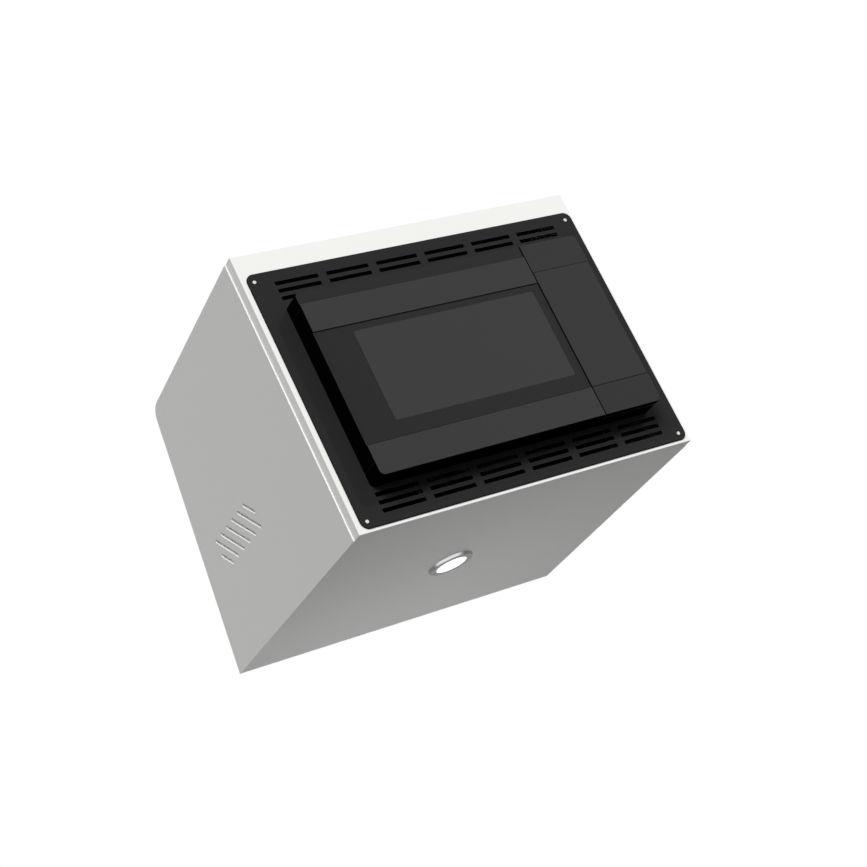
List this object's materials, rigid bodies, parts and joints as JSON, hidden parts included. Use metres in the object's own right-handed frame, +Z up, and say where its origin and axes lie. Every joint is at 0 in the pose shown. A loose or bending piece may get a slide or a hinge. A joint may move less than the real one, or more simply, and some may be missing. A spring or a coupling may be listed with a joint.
{
  "type": "reflow oven",
  "caption": "Wall-hung bench reflow oven: raked white sheet housing, black slotted trim frame, proud glazed door with push-button latch, control fascia and a lamp underneath.",
  "frame": {"origin": "middle of the four wall bolt holes, on the outer face of the raked back panel", "axes": "+X to the right when facing the door, +Y to the rear, +Z up; the floor panel is level"},
  "size_m": [0.596, 0.512, 0.434],
  "materials": {
    "white_coat": "satin powder coat",
    "black_coat": "satin",
    "door_black": "satin",
    "fascia_black": "satin",
    "smoked_glass": "gloss",
    "clear_glass": "gloss",
    "display_pane": "gloss",
    "keypad_film": "matt",
    "stainless": "brushed",
    "rack_wire": "bright",
    "galvanised": "galvanised",
    "spring_steel": "oiled",
    "pin_steel": "ground",
    "bright_screw": "zinc plated",
    "bush_bronze": "sintered",
    "quartz": "frosted",
    "ceramic": "unglazed",
    "fibre": "matt",
    "filter_felt": "matt",
    "silicone": "matt",
    "motor_paint": "satin",
    "black_nylon": "matt",
    "circuit_green": "lacquered",
    "sink_metal": "natural",
    "terminal_grey": "matt",
    "readout": "gloss",
    "lamp_ring": "satin",
    "lamp_opal": "frosted"
  },
  "bodies": {
    "oven": {"front_panel": "white_coat", "floor_panel": "white_coat", "roof_back_panel": "white_coat", "left_side_panel": "white_coat", "right_side_panel": "white_coat", "trim_frame": "black_coat", "control_fascia": "fascia_black", "display_window": "display_pane", "keypad_membrane": "keypad_film", "cavity_liner": "stainless", "face_plate": "stainless", "fan_cover": "stainless", "rack_runners": "stainless", "thermocouple": "stainless", "board_rack": "rack_wire", "wall_doublers": "galvanised", "chassis_tray": "galvanised", "support_rails": "galvanised", "motor_bracket": "galvanised", "upper_hinge": "galvanised", "lower_hinge": "galvanised", "button_spring": "spring_steel", "hinge_pins": "pin_steel", "trim_screws": "bright_screw", "hinge_screws": "bright_screw", "upper_heaters": "quartz", "lower_heaters": "quartz", "heater_caps": "ceramic", "insulation_jacket": "fibre", "vent_filters": "filter_felt", "fan_motor": "motor_paint", "mains_gland": "black_nylon", "gland_nut": "black_nylon", "cooling_fan_frame": "black_nylon", "door_switch": "black_nylon", "power_board": "circuit_green", "control_board": "circuit_green", "heat_sink": "sink_metal", "lamp_body": "sink_metal", "terminal_block": "terminal_grey", "display_module": "readout", "lamp_bezel": "lamp_ring", "lamp_lens": "lamp_opal"},
    "door": {"door_shell": "door_black", "upper_band": "door_black", "lower_band": "door_black", "outer_glass": "smoked_glass", "inner_glass": "clear_glass", "door_inner_panel": "stainless", "door_gasket": "silicone", "hinge_bushes": "bush_bronze", "latch_spring": "spring_steel"},
    "latch": {"latch_bar": "galvanised"},
    "release_button": {"release_button": "fascia_black", "release_slider": "black_nylon"},
    "convection_fan": {"convection_wheel": "stainless", "fan_shaft": "pin_steel"},
    "cooling_fan": {"cooling_fan_rotor": "black_nylon"}
  },
  "joints": [
    {"name": "door_hinge", "type": "hinge", "parent": "oven", "child": "door", "pos_m": [-0.2333, -0.45272, -0.01106], "axis": [0, 0, -1], "range_deg": [0, 95]},
    {"name": "button_press", "type": "slide", "parent": "oven", "child": "release_button", "axis": [0, 1, 0], "range_m": [0, 0.004], "stiffness_N_per_m": 600, "springref_m": -0.004, "deforming": ["button_spring"]},
    {"name": "latch_lift", "type": "slide", "parent": "door", "child": "latch", "axis": [0, 0, 1], "range_m": [0, 0.004], "deforming": ["latch_spring"]},
    {"name": "convection_spin", "type": "hinge", "parent": "oven", "child": "convection_fan", "pos_m": [-0.0455, -0.13592, -0.01106], "axis": [0, 1, 0], "continuous": true},
    {"name": "cooling_spin", "type": "hinge", "parent": "oven", "child": "cooling_fan", "pos_m": [0.1892, -0.16592, -0.09373], "axis": [0, 1, 0], "continuous": true}
  ],
  "couplings": [
    {"joint": "latch_lift", "follows": "button_press", "ratio": 1}
  ]
}
